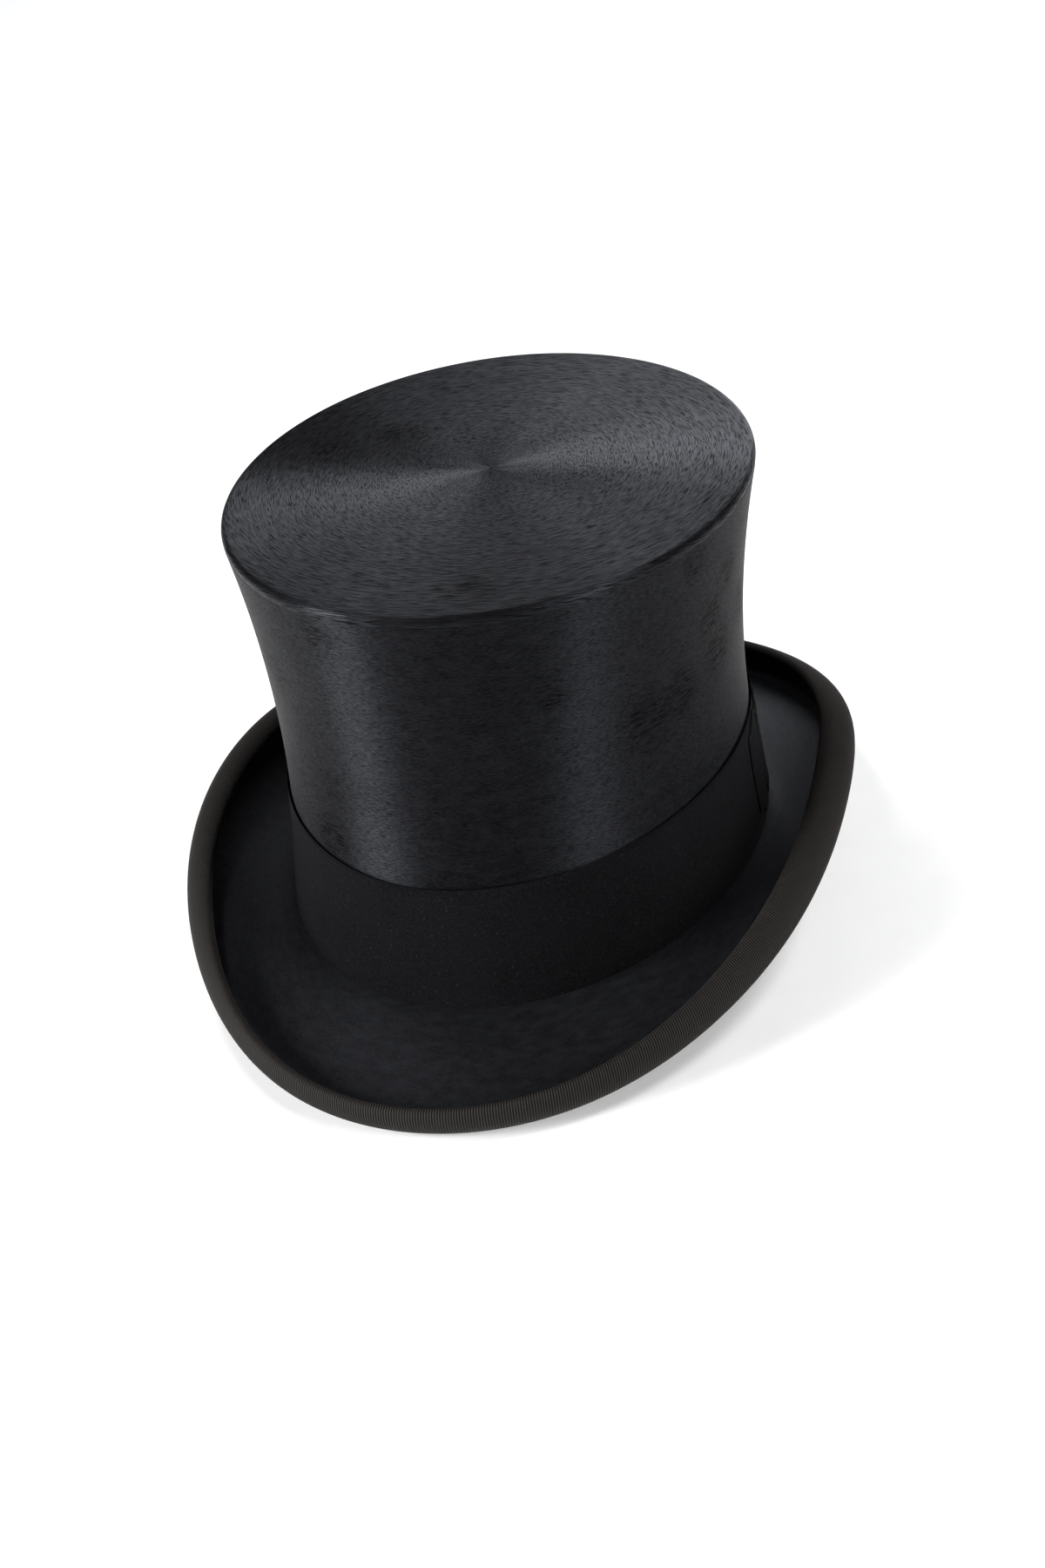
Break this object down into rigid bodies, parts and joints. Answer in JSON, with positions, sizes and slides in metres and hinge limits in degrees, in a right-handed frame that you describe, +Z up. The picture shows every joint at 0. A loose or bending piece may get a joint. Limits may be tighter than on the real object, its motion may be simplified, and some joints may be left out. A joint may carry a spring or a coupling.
{
  "type": "top hat",
  "caption": "Stiff black silk-plush top hat with a bell crown, cloth band, side bow and a rolled brim bound in ribbon.",
  "frame": {"origin": "under the middle of the crown, on the plane that the front and back dips of the brim stand on", "axes": "+Z up the crown, -Y towards the front of the hat, +X towards the wearer's left, where the bow is"},
  "size_m": [0.2325, 0.3187, 0.1594],
  "materials": {
    "silk_plush": "black silk plush, brushed to a sheen",
    "merino_cloth": "dull black felted merino cloth",
    "grosgrain_ribbon": "black grosgrain ribbon with fine ribs",
    "shellacked_goss": "calico stiffened with shellac",
    "lining_satin": "ivory satin",
    "sweatband_leather": "smooth tan leather",
    "tape_cloth": "cotton tape",
    "reed": "flexible reed",
    "oilcloth": "waxed oilcloth",
    "thread": "waxed cotton thread",
    "bow_ribbon": "black satin ribbon"
  },
  "bodies": {
    "root": {"side_plush": "silk_plush", "tip_plush": "silk_plush", "brim_top_cover": "silk_plush", "brim_under_cover": "merino_cloth", "hat_band": "merino_cloth", "band_bow": "merino_cloth", "band_bow_keeper": "merino_cloth", "edge_binding": "grosgrain_ribbon", "crown_shell": "shellacked_goss", "tip_shell": "shellacked_goss", "brim_shell": "shellacked_goss", "side_lining": "lining_satin", "tip_lining": "lining_satin", "lining_piping": "lining_satin", "sweatband": "sweatband_leather", "sweatband_seam_tape": "tape_cloth", "sweatband_reed": "reed", "reed_casing": "oilcloth", "sweatband_stitching": "thread", "sweatband_bow": "bow_ribbon"}
  },
  "joints": []
}
